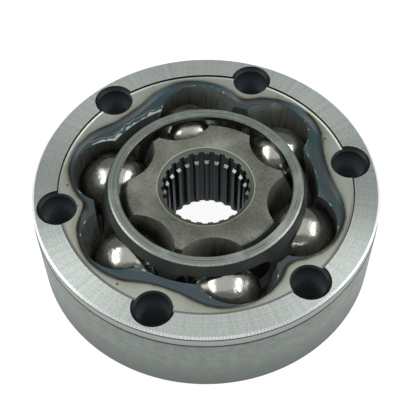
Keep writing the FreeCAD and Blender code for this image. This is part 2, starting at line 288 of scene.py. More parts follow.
# %% Distance from the nearest track's wall as a node group
def track_group():
    """Millimetres outside the wall of the nearest ball track."""
    group = measuring_group("distance_from_track", "Distance mm")
    polar = add(group, "ShaderNodeGroup", node_tree=POLAR)
    folded = fold(group, polar)
    radius = polar.outputs["Radius mm"]
    flat = add(group, "ShaderNodeVectorMath", {0: folded, "Scale": radius}, operation="SCALE")
    rise = add(group, "ShaderNodeCombineXYZ", {2: polar.outputs["Height mm"]})
    point = add(group, "ShaderNodeVectorMath", {0: flat, 1: rise}, operation="ADD")
    turn, skew = radians(HALF_STEP), radians(SKEW_ANGLE)
    start = (PITCH_RADIUS * cos(turn), PITCH_RADIUS * sin(turn), CENTRE_HEIGHT)
    along = (-sin(skew) * sin(turn), sin(skew) * cos(turn), cos(skew))
    offset = add(group, "ShaderNodeVectorMath", {0: point, 1: start}, operation="SUBTRACT")
    cross = add(group, "ShaderNodeVectorMath", {0: offset, 1: along}, operation="CROSS_PRODUCT")
    reach = add(group, "ShaderNodeVectorMath", {0: cross}, operation="LENGTH")
    wall = add(group, "ShaderNodeMath", {0: reach, 1: GROOVE_RADIUS}, operation="SUBTRACT")
    add(group, "NodeGroupOutput", {0: wall})
    return group


GROOVE = track_group()
print("made the group", GROOVE.name)

# %% [markdown]
# ## Turned and faced steel
#
# The top of the outer race was faced on a lathe. The tool leaves fine rings, and rings stretch a
# highlight across themselves, so the face shows paler wedges that point to the axis. Rings could
# be cut into the mesh, but that takes millions of triangles. Cycles stretches a highlight along
# the tangent, so the tangent runs around the axis and is turned by a quarter. Noise along the
# radius draws the rings, and noise around the axis draws faint spokes. Each material starts with
# the real sizes of its patterns in millimetres, or coarser ones where the real ones can't show.

# %% Faced steel of the outer race
def faced_steel(tree):
    """Bare faced steel: satin to the eye, with fine rings and pale wedges that turn with the light."""
    ring_step, grain_size = 0.6, 0.6
    spoke_width, face_radius = 1.5, 50
    place = add(tree, "ShaderNodeTexCoord").outputs["Object"]
    polar = add(tree, "ShaderNodeGroup", node_tree=POLAR)
    # The real feed of 0.1 mm is too fine to show, so the rings are drawn coarser
    radius = {"W": polar.outputs["Radius mm"], "Scale": 1 / ring_step}
    rings = add(tree, "ShaderNodeTexNoise", radius, noise_dimensions="1D")
    # Chatter of the tool
    angle = {"W": polar.outputs["Angle"], "Scale": face_radius / spoke_width, "Detail": 3.0}
    spokes = add(tree, "ShaderNodeTexNoise", angle, noise_dimensions="1D")
    marks = add(tree, "ShaderNodeMix", {"Factor": 0.5, 2: rings, 3: spokes}, data_type="FLOAT")
    # Grain of a handled face, also drawn coarser
    speckle = {"Vector": place, "Scale": 1 / (grain_size * MM), "Detail": 3.0}
    grain = add(tree, "ShaderNodeTexNoise", speckle)
    mottled = add(tree, "ShaderNodeMix", {"Factor": 0.5, 2: marks, 3: grain}, data_type="FLOAT")
    # Bare steel, a little lighter where the tool rubbed
    shade = add(tree, "ShaderNodeValToRGB", {0: mottled}, stops=[(0.4, "#c4cbc7"), (0.6, "#d9e0dc")])
    rough = add(tree, "ShaderNodeMapRange", {0: spokes, 1: 0.3, 2: 0.7, 3: 0.38, 4: 0.41})
    around = add(tree, "ShaderNodeTangent", direction_type="RADIAL", axis="Z")
    return add(tree, "ShaderNodeBsdfPrincipled", {
        "Base Color": shade, "Metallic": 1.0, "Roughness": rough,
        "Anisotropic": 0.75, "Anisotropic Rotation": 0.25, "Tangent": around})


FACED = material("faced_steel", faced_steel)

# %% [markdown]
# ## Heat colours beside the hardened mouth
#
# The tracks were hardened by heating them in a coil and quenching them. The heat ran out into the
# face, and its oxide skin shows the usual order of colours: a pale straw face, a thin brown line,
# then slate grey with teal in the mouth. Along the edge, where the face steps down into the mouth,
# shade is painted as a black line. The colours could be painted on by hand, but they depend only on
# the distance from the wavy edge, so a colour ramp over that distance paints all of it and stays on
# the edge.

# %% Recessed face with a straw tint
# The heat tints the steel up to this far from the edge
TINT_REACH = 5.0


def tinted_face(tree):
    """Steel with a thin heat skin: a warm satin grey that turns brown near the edge, with black shade painted at
    the edge itself.
    """
    wander_size, cloud_size, pit_spacing = 3.3, 12, 5
    place = add(tree, "ShaderNodeTexCoord").outputs["Object"]
    polar = add(tree, "ShaderNodeGroup", node_tree=POLAR)
    edge = add(tree, "ShaderNodeGroup", node_tree=WAVE)
    # The colour lines wander by a tenth of a millimetre
    waves = {"Vector": place, "Scale": 1 / (wander_size * MM), "Detail": 4.0}
    blur = add(tree, "ShaderNodeTexNoise", waves)
    wander = add(tree, "ShaderNodeMapRange", {0: blur, 1: 0.3, 2: 0.7, 3: -0.12, 4: 0.12})
    reach = add(tree, "ShaderNodeMath", {0: edge, 1: wander}, operation="ADD")
    share = add(tree, "ShaderNodeMapRange", {0: reach, 1: 0.0, 2: TINT_REACH})
    # Painted shade makes it black at the edge. Then come the heat colours: brown, then straw that fades
    # out at the end of the heat's reach
    tint_and_painted_edge = add(tree, "ShaderNodeValToRGB", {0: share}, stops=[
        (0.0, "#1e1e1e"), (0.05, "#262422"), (0.09, "#6d6758"), (0.17, "#98998a"), (0.5, "#abb0a6"),
        (1.0, "#b0b5ad")])
    # Coarser clouds where oil dried on the face
    clouds = {"Vector": place, "Scale": 1 / (cloud_size * MM), "Detail": 5.0}
    cloud = add(tree, "ShaderNodeTexNoise", clouds)
    dried = add(tree, "ShaderNodeMapRange", {0: cloud, 1: 0.35, 2: 0.7, 3: 0.0, 4: 0.5})
    oiled = add(tree, "ShaderNodeMix", {"Factor": dried, 6: tint_and_painted_edge, 7: "#c1c7be"}, data_type="RGBA")
    # Painted shade: the corner under the step and the step's wall are drawn dark
    radius = polar.outputs["Radius mm"]
    corner = add(tree, "ShaderNodeMapRange", {0: radius, 1: STEP_RADIUS - 0.4, 2: STEP_RADIUS - 0.2})
    corner_shaded = add(tree, "ShaderNodeMix", {"Factor": corner, 6: oiled, 7: "#1d1f1d"}, data_type="RGBA")
    # Dark pits, half a millimetre across or more
    pits = add(tree, "ShaderNodeTexVoronoi", {"Vector": place, "Scale": 1 / (pit_spacing * MM)})
    clear = add(tree, "ShaderNodeMapRange", {0: pits, 1: 0.05, 2: 0.1})
    pitted = add(tree, "ShaderNodeMix", {"Factor": clear, 6: "#35342f", 7: corner_shaded}, data_type="RGBA")
    # The tool's round nose left a fillet in that corner, which tilts the surface towards the axis
    nose = add(tree, "ShaderNodeMapRange", {0: radius, 1: STEP_RADIUS - 1.0, 2: STEP_RADIUS - 0.2})
    fillet = add(tree, "ShaderNodeBump", {"Height": nose, "Distance": 0.5 * MM})
    around = add(tree, "ShaderNodeTangent", direction_type="RADIAL", axis="Z")
    return add(tree, "ShaderNodeBsdfPrincipled", {
        "Base Color": pitted, "Metallic": 0.85, "Roughness": 0.46, "Normal": fillet,
        "Anisotropic": 0.4, "Anisotropic Rotation": 0.25, "Tangent": around})


TINTED = material("heat_tinted_face", tinted_face)

# %% [markdown]
# Below the edge the oxide is thicker, slate with clouds of teal. The burr is a ragged line of bare
# steel at the tracks' rims, and its glint is painted into the colour as a pale line, whole on one side
# of the joint and in crumbs on the other. It could be a thin strip of mesh, but it is only a tenth of
# a millimetre thick. So the material draws it at its distance from the tracks' walls, and noise
# breaks it up.

# %% Mouth with hardening colours and a burr
# The burr's painted glint is whole around this angle and so far to each side of it, in degrees
BURR_MIDDLE, BURR_HALF = 155, 19


def blued_mouth(tree):
    """Hardened steel under thick oxide: a dull slate shelf with teal clouds, painted shade at the edge, and a
    ragged burr with a painted glint.
    """
    cloud_size, wipe_step, tooth_size, patch_size = 13, 0.5, 2, 5
    place = add(tree, "ShaderNodeTexCoord").outputs["Object"]
    polar = add(tree, "ShaderNodeGroup", node_tree=POLAR)
    edge = add(tree, "ShaderNodeGroup", node_tree=WAVE)
    clouds = {"Vector": place, "Scale": 1 / (cloud_size * MM), "Detail": 3.0}
    cloud = add(tree, "ShaderNodeTexNoise", clouds)
    wander = add(tree, "ShaderNodeMapRange", {0: cloud, 1: 0.3, 2: 0.7, 3: -0.1, 4: 0.1})
    reach = add(tree, "ShaderNodeMath", {0: edge, 1: wander}, operation="ADD")
    share = add(tree, "ShaderNodeMapRange", {0: reach, 1: 0.0, 2: -TINT_REACH})
    # The wall is black at its edge, where shade is painted, and grey below. A highlight is painted as a
    # paler foot, and the shelf is slate
    tint_and_painted_edge = add(tree, "ShaderNodeValToRGB", {0: share}, stops=[
        (0.0, "#1a1b1c"), (0.07, "#303131"), (0.12, "#4a4a48"), (0.2, "#47494a"), (0.25, "#565e61"),
        (0.3, "#2f383c"), (0.4, "#3f4b50"), (1.0, "#465559")])
    blue = add(tree, "ShaderNodeMapRange", {0: cloud, 1: 0.48, 2: 0.64})
    teal = add(tree, "ShaderNodeMix", {"Factor": blue, 6: tint_and_painted_edge, 7: "#2f4a50"}, data_type="RGBA")
    # Wiping marks follow the edge
    along_edge = {"W": reach, "Scale": 1 / wipe_step, "Detail": 3.0}
    wipes = add(tree, "ShaderNodeTexNoise", along_edge, noise_dimensions="1D")
    wiped = add(tree, "ShaderNodeMapRange", {0: wipes, 1: 0.5, 2: 0.75, 3: 0.0, 4: 0.45})
    streaked = add(tree, "ShaderNodeMix", {"Factor": wiped, 6: teal, 7: "#7e898a"}, data_type="RGBA")
    # The burr lies within about a millimetre of a track's wall or the bore, with ragged teeth
    wall = add(tree, "ShaderNodeGroup", node_tree=GROOVE)
    radius = polar.outputs["Radius mm"]
    bore = add(tree, "ShaderNodeMath", {0: radius, 1: BORE_RADIUS}, operation="SUBTRACT")
    nearest = add(tree, "ShaderNodeMath", {0: wall, 1: bore}, operation="MINIMUM")
    rags = {"Vector": place, "Scale": 1 / (tooth_size * MM), "Detail": 3.0}
    teeth = add(tree, "ShaderNodeTexNoise", rags)
    uneven = add(tree, "ShaderNodeMapRange", {0: teeth, 1: 0.3, 2: 0.7, 3: -0.5, 4: 0.5})
    ragged = add(tree, "ShaderNodeMath", {0: nearest, 1: uneven}, operation="ADD")
    # The painted glint is whole around its middle, and further away only crumbs of it are left
    angle = polar.outputs["Angle"]
    turned = add(tree, "ShaderNodeMath", {0: angle, 1: radians(BURR_MIDDLE)}, operation="SUBTRACT")
    wrapped = add(tree, "ShaderNodeMath", {0: turned, 1: pi, 2: -pi}, operation="WRAP")
    away = add(tree, "ShaderNodeMath", {0: wrapped}, operation="ABSOLUTE")
    half, end = radians(BURR_HALF), radians(BURR_HALF + 6)
    broken = add(tree, "ShaderNodeMapRange", {0: away, 1: half, 2: end, 3: -0.5, 4: 0.4})
    near_burr = add(tree, "ShaderNodeMath", {0: ragged, 1: broken}, operation="ADD")
    # Even there it has gaps, in patches
    patches = {"Vector": place, "Scale": 1 / (patch_size * MM)}
    patch = add(tree, "ShaderNodeTexNoise", patches)
    worn = add(tree, "ShaderNodeMapRange", {0: patch, 1: 0.42, 2: 0.56, 3: 0.9, 4: 0.0})
    burr = add(tree, "ShaderNodeMath", {0: near_burr, 1: worn}, operation="ADD")
    on_burr = add(tree, "ShaderNodeMapRange", {0: burr, 1: 0.4, 2: 0.2})
    # Painted highlight: the burr is drawn as a pale glint over the oxide
    glint = add(tree, "ShaderNodeMix", {"Factor": on_burr, 6: streaked, 7: "#a9b3b1"}, data_type="RGBA")
    # A quarter of a millimetre wide scratch runs beside the whole burr, 1.6 mm from the walls
    scratch = add(tree, "ShaderNodeMath", {0: ragged, 1: 1.6, 2: 0.13}, operation="COMPARE")
    whole = add(tree, "ShaderNodeMath", {0: away, 1: radians(BURR_HALF - 1)}, operation="LESS_THAN")
    scratched = add(tree, "ShaderNodeMath", {0: scratch, 1: whole}, operation="MULTIPLY")
    marked = add(tree, "ShaderNodeMix", {"Factor": scratched, 6: glint, 7: "#8d9998"}, data_type="RGBA")
    rough = add(tree, "ShaderNodeMapRange", {0: on_burr, 3: 0.38, 4: 0.6})
    scale = add(tree, "ShaderNodeBump", {"Height": teeth, "Distance": 0.03 * MM, "Strength": 0.6})
    return add(tree, "ShaderNodeBsdfPrincipled", {
        "Base Color": marked, "Metallic": 0.5, "Roughness": rough, "Normal": scale})


BLUED = material("blued_mouth", blued_mouth)

# %% [markdown]
# ## Ground tracks, drilled holes and the turned side
#
# The balls run on ground and hardened tracks, which are smooth and lightly scratched along their
# length, and slate from the hardening near both faces. The bolt holes were drilled, with faint rings
# from the drill, and are drawn nearly black at both mouths. The side was turned and then handled,
# so it has the dull grey of bare steel with stains, and shade is painted on it towards the table.
# One steel would do for all three from afar. Close up each shows how it was cut, so each has noise
# along its own cuts.

# %% Ground track
def ground_track(tree, dark, light, end_tint_and_light):
    """Ground steel, smooth with long faint streaks, and a colour towards both faces: a slate tint on the outer
    race's tracks, and painted light on the inner race's tracks and the cage's windows.
    """
    mark_width, times_as_long = 1.1, 20
    place = add(tree, "ShaderNodeTexCoord").outputs["Object"]
    polar = add(tree, "ShaderNodeGroup", node_tree=POLAR)
    # Grinding marks, coarser than the real ones
    stretched = add(tree, "ShaderNodeMapping", {"Vector": place, "Scale": (1, 1, 1 / times_as_long)})
    streaks = {"Vector": stretched, "Scale": 1 / (mark_width * MM), "Detail": 0.0}
    marks = add(tree, "ShaderNodeTexNoise", streaks)
    ground = add(tree, "ShaderNodeValToRGB", {0: marks}, stops=[(0.3, dark), (0.7, light)])
    height = polar.outputs["Height mm"]
    middle = add(tree, "ShaderNodeMath", {0: height, 1: CENTRE_HEIGHT}, operation="SUBTRACT")
    off_middle = add(tree, "ShaderNodeMath", {0: middle}, operation="ABSOLUTE")
    # The end colour begins 4 mm from the middle of the joint and is full at 12 mm
    share = add(tree, "ShaderNodeMapRange", {0: off_middle, 1: 4.0, 2: 12.0})
    shade = add(tree, "ShaderNodeMix", {"Factor": share, 6: ground, 7: end_tint_and_light}, data_type="RGBA")
    rough = add(tree, "ShaderNodeMapRange", {0: marks, 1: 0.3, 2: 0.7, 3: 0.26, 4: 0.38})
    return add(tree, "ShaderNodeBsdfPrincipled", {
        "Base Color": shade, "Metallic": 0.65, "Roughness": rough})


TRACK = material("ground_track", ground_track, "#68665f", "#807d74", "#76827f")
# Painted light: the tracks of the inner race and the cage's windows are drawn brighter towards the faces
WALL = material("ground_wall", ground_track, "#74746c", "#8f8f86", "#a2a399")


# %% Drilled hole, black with oil
def drilled_hole(tree):
    """Drilled steel: nearly black at its mouths, with faint grey rings deeper down."""
    ring_step, dirty_depth = 0.7, 8
    polar = add(tree, "ShaderNodeGroup", node_tree=POLAR)
    height = polar.outputs["Height mm"]
    # Drill rings, as far apart as in the photograph
    turns = {"W": height, "Scale": 1 / ring_step, "Detail": 1.0}
    rings = add(tree, "ShaderNodeTexNoise", turns, noise_dimensions="1D")
    ringed = add(tree, "ShaderNodeValToRGB", {0: rings}, stops=[(0.42, "#656e73"), (0.62, "#7f888e")])
    # The hole is drawn darkest at both mouths
    half = RACE_WIDTH / 2
    middle = add(tree, "ShaderNodeMath", {0: height, 1: half}, operation="SUBTRACT")
    off_middle = add(tree, "ShaderNodeMath", {0: middle}, operation="ABSOLUTE")
    mouth = add(tree, "ShaderNodeMapRange", {0: off_middle, 1: half - dirty_depth, 2: half})
    shade = add(tree, "ShaderNodeMix", {"Factor": mouth, 6: ringed, 7: "#15181a"}, data_type="RGBA")
    # The blacker it is drawn, the more metallic it is set, so that it shows no pale sheen
    oiled = add(tree, "ShaderNodeMapRange", {0: mouth, 3: 0.2, 4: 0.85})
    ridges = add(tree, "ShaderNodeBump", {"Height": rings, "Distance": 0.05 * MM, "Strength": 0.5})
    return add(tree, "ShaderNodeBsdfPrincipled", {
        "Base Color": shade, "Metallic": oiled, "Roughness": 0.5, "Normal": ridges})


HOLE = material("drilled_hole", drilled_hole)

# %% [markdown]
# The side carries two marks. Its upper 4.4 mm were turned a little smaller, so there is a paler
# band and a fine dark witness line below it. The chamfer at the rim catches the light, and its
# highlight is also painted into its colour as a nearly white line, broken into painted beads where
# the tool's chatter breaks it. The beads could be noise too, but chatter is regular, so they are a
# sine around the axis that drifts a little.

# %% Turned side with its witness line
BAND_HEIGHT = 4.4
WITNESS_HEIGHT = RACE_WIDTH - BAND_HEIGHT


def turned_side(tree):
    """Bare turned steel that was handled: dull grey, cloudy and nicked, with shade painted darker towards the
    table.
    """
    stain_size, nick_spacing, mark_step = 3, 4, 0.5
    place = add(tree, "ShaderNodeTexCoord").outputs["Object"]
    polar = add(tree, "ShaderNodeGroup", node_tree=POLAR)
    height = polar.outputs["Height mm"]
    # Stains from hands and oil, with finer grain in them
    stains = add(tree, "ShaderNodeTexNoise", {
        "Vector": place, "Scale": 1 / (stain_size * MM), "Detail": 8.0, "Roughness": 0.85})
    bare = add(tree, "ShaderNodeValToRGB", {0: stains}, stops=[(0.38, "#727974"), (0.62, "#8a918c")])
    # Painted shade: the side is drawn darker towards the table
    # The lower half is darker, as in the photograph
    low = add(tree, "ShaderNodeMapRange", {0: height, 1: 2.0, 2: 16.0})
    shaded = add(tree, "ShaderNodeMix", {"Factor": low, 6: "#666d68", 7: bare}, data_type="RGBA")
    # Dark nicks about half a millimetre across
    nicks = add(tree, "ShaderNodeTexVoronoi", {"Vector": place, "Scale": 1 / (nick_spacing * MM)})
    clear = add(tree, "ShaderNodeMapRange", {0: nicks, 1: 0.03, 2: 0.09})
    nicked = add(tree, "ShaderNodeMix", {"Factor": clear, 6: "#4c524e", 7: shaded}, data_type="RGBA")
    # The witness line is a quarter of a millimetre high, and the paler band begins over it
    line = add(tree, "ShaderNodeMath", {0: height, 1: WITNESS_HEIGHT, 2: 0.13}, operation="COMPARE")
    lined = add(tree, "ShaderNodeMix", {"Factor": line, 6: nicked, 7: "#484e4a"}, data_type="RGBA")
    band = add(tree, "ShaderNodeMapRange", {
        0: height, 1: WITNESS_HEIGHT + 0.15, 2: WITNESS_HEIGHT + 0.25})
    upper = add(tree, "ShaderNodeMix", {"Factor": band, 6: lined, 7: "#999f9b"}, data_type="RGBA")
    # Painted shade: a dark line just under the chamfer
    rim = add(tree, "ShaderNodeMapRange", {0: height, 1: RACE_WIDTH - 1.35, 2: RACE_WIDTH - 1.25})
    shade = add(tree, "ShaderNodeMix", {"Factor": rim, 6: upper, 7: "#1d201f"}, data_type="RGBA")
    # Turning marks, coarser than the real 0.15 mm
    turns = {"W": height, "Scale": 1 / mark_step}
    marks = add(tree, "ShaderNodeTexNoise", turns, noise_dimensions="1D")
    ridges = add(tree, "ShaderNodeBump", {"Height": marks, "Distance": 0.01 * MM, "Strength": 0.5})
    around = add(tree, "ShaderNodeTangent", direction_type="RADIAL", axis="Z")
    return add(tree, "ShaderNodeBsdfPrincipled", {
        "Base Color": shade, "Metallic": 1.0, "Roughness": 0.5, "Normal": ridges,
        "Anisotropic": 0.3, "Anisotropic Rotation": 0.25, "Tangent": around})


SIDE = material("turned_side", turned_side)


# %% Chamfer with a beaded highlight
def bright_chamfer(tree):
    """Freshly cut steel that catches the light, with its highlight also painted into the colour as a nearly white
    line in small beads.
    """
    bead_step, drift_step, drift_turn = 1.0, 6, 9.0
    polar = add(tree, "ShaderNodeGroup", node_tree=POLAR)
    angle = polar.outputs["Angle"]
    # Slow noise moves the beads by up to a step, so that they aren't all alike
    slow = {"W": angle, "Scale": RACE_RADIUS / drift_step}
    drift = add(tree, "ShaderNodeTexNoise", slow, noise_dimensions="1D")
    even = 2 * pi * RACE_RADIUS / bead_step
    turns = add(tree, "ShaderNodeMath", {0: angle, 1: even}, operation="MULTIPLY")
    phase = add(tree, "ShaderNodeMath", {0: drift, 1: drift_turn, 2: turns}, operation="MULTIPLY_ADD")
    highlight_beads = add(tree, "ShaderNodeMath", {0: phase}, operation="SINE")
    # Painted highlight: the colour runs nearly white, brightest on the beads
    shade = add(tree, "ShaderNodeValToRGB", {0: highlight_beads}, stops=[(0.0, "#d9deda"), (0.9, "#f2f5f3")])
    return add(tree, "ShaderNodeBsdfPrincipled", {
        "Base Color": shade, "Metallic": 0.7, "Roughness": 0.42})


CHAMFER = material("bright_chamfer", bright_chamfer)

# %% [markdown]
# ## Phosphated inner race
#
# The inner race has a thin phosphate coat that holds oil. It is matt and olive grey, cloudy where
# the oil lies thicker, with a few dark specks. The chamfer of the bore was cut after the forging
# and is darker, and a highlight is painted as a pale line where it meets the face. The spline teeth
# are drawn nearly black. Their ends were cut bare by the lead-in and are drawn pale, partly as bare
# steel and partly as a painted highlight. A plain grey would look like plastic here. Noise of two
# sizes gives the coat its grain and its clouds, and a fine bump breaks up the highlight.

# %% Phosphated face
# The bore's chamfer ends here
CHAMFER_RADIUS = 15.2


def phosphated_face(tree):
    """Phosphate coat with oil in it: matt olive grey, cloudy and speckled, with soft highlights."""
    grain_size, cloud_size, speck_spacing = 0.8, 10, 3
    place = add(tree, "ShaderNodeTexCoord").outputs["Object"]
    polar = add(tree, "ShaderNodeGroup", node_tree=POLAR)
    # Real crystals are a few hundredths of a millimetre, so the grain is drawn much coarser
    crystals = {"Vector": place, "Scale": 1 / (grain_size * MM), "Detail": 4.0}
    grain = add(tree, "ShaderNodeTexNoise", crystals)
    coat = add(tree, "ShaderNodeValToRGB", {0: grain}, stops=[(0.32, "#565950"), (0.68, "#8a8d83")])
    clouds = {"Vector": place, "Scale": 1 / (cloud_size * MM), "Detail": 4.0}
    cloud = add(tree, "ShaderNodeTexNoise", clouds)
    oil = add(tree, "ShaderNodeValToRGB", {0: cloud}, stops=[
        (0.3, "#50534b"), (0.5, "#71746a"), (0.7, "#999c91")])
    oiled = add(tree, "ShaderNodeMix", {"Factor": 0.6, 6: coat, 7: oil}, data_type="RGBA")
    # Dark specks about half a millimetre across
    specks = add(tree, "ShaderNodeTexVoronoi", {"Vector": place, "Scale": 1 / (speck_spacing * MM)})
    clear = add(tree, "ShaderNodeMapRange", {0: specks, 1: 0.04, 2: 0.12})
    coated = add(tree, "ShaderNodeMix", {"Factor": clear, 6: "#3d3f38", 7: oiled}, data_type="RGBA")
    radius = polar.outputs["Radius mm"]
    on_face = add(tree, "ShaderNodeMapRange", {
        0: radius, 1: CHAMFER_RADIUS - 0.25, 2: CHAMFER_RADIUS - 0.15})
    chamfered = add(tree, "ShaderNodeMix", {"Factor": on_face, 6: "#54574f", 7: coated}, data_type="RGBA")
    # Painted highlight: a pale line where the chamfer meets the face
    line = add(tree, "ShaderNodeMath", {0: radius, 1: CHAMFER_RADIUS, 2: 0.14}, operation="COMPARE")
    shade = add(tree, "ShaderNodeMix", {"Factor": line, 6: chamfered, 7: "#a3a699"}, data_type="RGBA")
    rise = add(tree, "ShaderNodeBump", {"Height": grain, "Distance": 0.02 * MM, "Strength": 0.6})
    return add(tree, "ShaderNodeBsdfPrincipled", {
        "Base Color": shade, "Metallic": 0.6, "Roughness": 0.5, "Normal": rise})


PHOSPHATE = material("phosphated_face", phosphated_face)


# %% Dark spline and its cut tooth ends
def dark_spline(tree):
    """Broached steel drawn nearly black: dark teeth with a soft glint on their flanks."""
    line_step, tooth_radius = 0.8, 13
    polar = add(tree, "ShaderNodeGroup", node_tree=POLAR)
    # Broaching lines run along the bore
    angle = {"W": polar.outputs["Angle"], "Scale": tooth_radius / line_step, "Detail": 1.0}
    lines = add(tree, "ShaderNodeTexNoise", angle, noise_dimensions="1D")
    shade = add(tree, "ShaderNodeValToRGB", {0: lines}, stops=[(0.35, "#151a1d"), (0.7, "#2c3437")])
    return add(tree, "ShaderNodeBsdfPrincipled", {
        "Base Color": shade, "Metallic": 0.8, "Roughness": 0.42})


def fresh_cut(tree, dark, light):
    """Steel just cut or ground: a pale satin edge, partly bare steel and partly painted highlight, with small
    flecks of lighter and darker.
    """
    fleck_size = 0.5
    place = add(tree, "ShaderNodeTexCoord").outputs["Object"]
    flecks = add(tree, "ShaderNodeTexNoise", {"Vector": place, "Scale": 1 / (fleck_size * MM)})
    shade = add(tree, "ShaderNodeValToRGB", {0: flecks}, stops=[(0.35, dark), (0.65, light)])
    return add(tree, "ShaderNodeBsdfPrincipled", {
        "Base Color": shade, "Metallic": 1.0, "Roughness": 0.46})


SPLINE = material("dark_spline", dark_spline)
# Painted highlight, in part: the tooth ends are drawn pale
TOOTH_END = material("cut_tooth_end", fresh_cut, "#9a9f9b", "#b9beba")

# %% [markdown]
# ## Black cage with ground ends
#
# The cage was hardened and left black on its spheres, and the inner race's sphere is drawn with the
# same black. Only the cage's end faces were ground, so they show grey rings, with a pale line on
# the bevels, partly bare ground steel and partly a painted highlight. One dark metal with worn edges
# is the usual way, but these edges are new, so each surface gets the finish of its own last cut.

# %% Ground end face and black sphere of the cage
def ground_end(tree):
    """Ground case-hardened steel: a satin grey ring with fine circles and paler patches."""
    ring_step, patch_size = 0.45, 8
    place = add(tree, "ShaderNodeTexCoord").outputs["Object"]
    polar = add(tree, "ShaderNodeGroup", node_tree=POLAR)
    # Grinding rings, coarser than the real ones
    radius = {"W": polar.outputs["Radius mm"], "Scale": 1 / ring_step}
    rings = add(tree, "ShaderNodeTexNoise", radius, noise_dimensions="1D")
    ground = add(tree, "ShaderNodeValToRGB", {0: rings}, stops=[(0.38, "#636a63"), (0.62, "#979e97")])
    # Paler patches where the wheel took a little more
    patches = {"Vector": place, "Scale": 1 / (patch_size * MM), "Detail": 4.0}
    patch = add(tree, "ShaderNodeTexNoise", patches)
    paler = add(tree, "ShaderNodeMapRange", {0: patch, 1: 0.48, 2: 0.7})
    shade = add(tree, "ShaderNodeMix", {"Factor": paler, 6: ground, 7: "#a7aea7"}, data_type="RGBA")
    around = add(tree, "ShaderNodeTangent", direction_type="RADIAL", axis="Z")
    return add(tree, "ShaderNodeBsdfPrincipled", {
        "Base Color": shade, "Metallic": 0.8, "Roughness": 0.46,
        "Anisotropic": 0.35, "Anisotropic Rotation": 0.25, "Tangent": around})


def black_sphere(tree):
    """Black hardening skin: dark grey with broad soft highlights and faint clouds."""
    cloud_size = 9
    place = add(tree, "ShaderNodeTexCoord").outputs["Object"]
    cloud = add(tree, "ShaderNodeTexNoise", {
        "Vector": place, "Scale": 1 / (cloud_size * MM), "Detail": 8.0, "Roughness": 0.65})
    shade = add(tree, "ShaderNodeValToRGB", {0: cloud}, stops=[(0.3, "#3c413f"), (0.7, "#575d5a")])
    rough = add(tree, "ShaderNodeMapRange", {0: cloud, 1: 0.3, 2: 0.7, 3: 0.4, 4: 0.52})
    return add(tree, "ShaderNodeBsdfPrincipled", {
        "Base Color": shade, "Metallic": 0.6, "Roughness": rough})


END_FACE = material("ground_end_face", ground_end)
# Painted highlight, in part: the bevels are drawn pale
BEVEL = material("ground_bevel", fresh_cut, "#99a09a", "#bcc2bc")
BLACK = material("black_oxide_sphere", black_sphere)

# %% [markdown]
# ## Which finish each surface has
#
# The CAD meshes are right in shape, but their triangles are loose and flat. Each piece is shown
# by a copy whose doubles are merged and whose round surfaces are shaded smooth, with sharp edges
# kept. Faces could be picked by hand in Edit Mode, but the picks are lost with the next model. So a
# small rule per piece looks at where a face is and which way it points, and says its finish. The
# rule's last value, up, is 1 or -1 on a flat end face and 0 on an upright wall.

# %% Rules for the outer race
# How much a flat face and a slope look up or down, at the least
FLAT, SLOPED = 0.99, 0.4
# A bolt hole with its chamfer lies within this distance of its own middle
BOLT_MOUTH = 6.6
# The side and its chamfer lie within this distance of the outside
SIDE_DEPTH = 1.2


def bolt_distance(x, y):
    """Millimetres from the nearest bolt hole's middle line."""
    turn = (degrees(atan2(y, x)) % TRACK_STEP) - HALF_STEP
    radius = hypot(x, y)
    return hypot(radius * cos(radians(turn)) - BOLT_CIRCLE, radius * sin(radians(turn)))


def outer_finish(x, y, z, up):
    radius = hypot(x, y)
    from_end = min(z, RACE_WIDTH - z)
    if abs(up) > FLAT:
        if from_end > FACE_RECESS + MOUTH_DEPTH / 2:
            return BLUED
        return FACED if from_end < FACE_RECESS / 2 else TINTED
    if bolt_distance(x, y) < BOLT_MOUTH:
        return HOLE
    if radius > RACE_RADIUS - SIDE_DEPTH:
        return CHAMFER if from_end < 1 and abs(up) > SLOPED else SIDE
    if abs(radius - STEP_RADIUS) < 0.1:
        return TINTED
    return BLUED if abs(up) > SLOPED else TRACK


hole = (BOLT_CIRCLE * cos(radians(HALF_STEP)), BOLT_CIRCLE * sin(radians(HALF_STEP)))
print("a bolt hole's own middle is", round(bolt_distance(*hole), 3), "mm off it")

# %% Rules for the inner race and the cage
HUB_HALF = corners("inner_race")[1][2] - CENTRE_HEIGHT
CAGE_HALF = corners("ball_cage")[1][2] - CENTRE_HEIGHT
# Radii of their spheres, whose widest parts the tracks and windows cut away
HUB_RADIUS, CAGE_OUTER, CAGE_INNER = 28.03, 33.63, 30.73
# How far the bore's chamfer and the cage's bevels reach from an end, with a little room
BORE_CHAMFER, CAGE_BEVEL = 2.2, 0.6


def inner_finish(x, y, z, up):
    radius = hypot(x, y)
    from_end = HUB_HALF - abs(z - CENTRE_HEIGHT)
    if radius < CHAMFER_RADIUS:
        if from_end < BORE_CHAMFER and abs(up) > SLOPED:
            return PHOSPHATE
        return TOOTH_END if abs(up) > 0.5 else SPLINE
    if abs(up) > 0.6:
        return PHOSPHATE
    spherical = hypot(radius, z - CENTRE_HEIGHT)
    return BLACK if abs(spherical - HUB_RADIUS) < 0.1 else WALL


def cage_finish(x, y, z, up):
    spherical = hypot(hypot(x, y), z - CENTRE_HEIGHT)
    if CAGE_HALF - abs(z - CENTRE_HEIGHT) < CAGE_BEVEL and abs(up) > 0.3:
        return END_FACE if abs(up) > 0.95 else BEVEL
    on_sphere = min(abs(spherical - CAGE_OUTER), abs(spherical - CAGE_INNER)) < 0.15
    return BLACK if on_sphere else WALL


print("the cage is", 2 * CAGE_HALF, "mm high and the inner race", 2 * HUB_HALF)


# %% Dress a copy of each CAD node
# Points closer than this are one point, and an edge sharper than this stays sharp
WELD_DISTANCE = 0.002
SHARP_ANGLE = 28


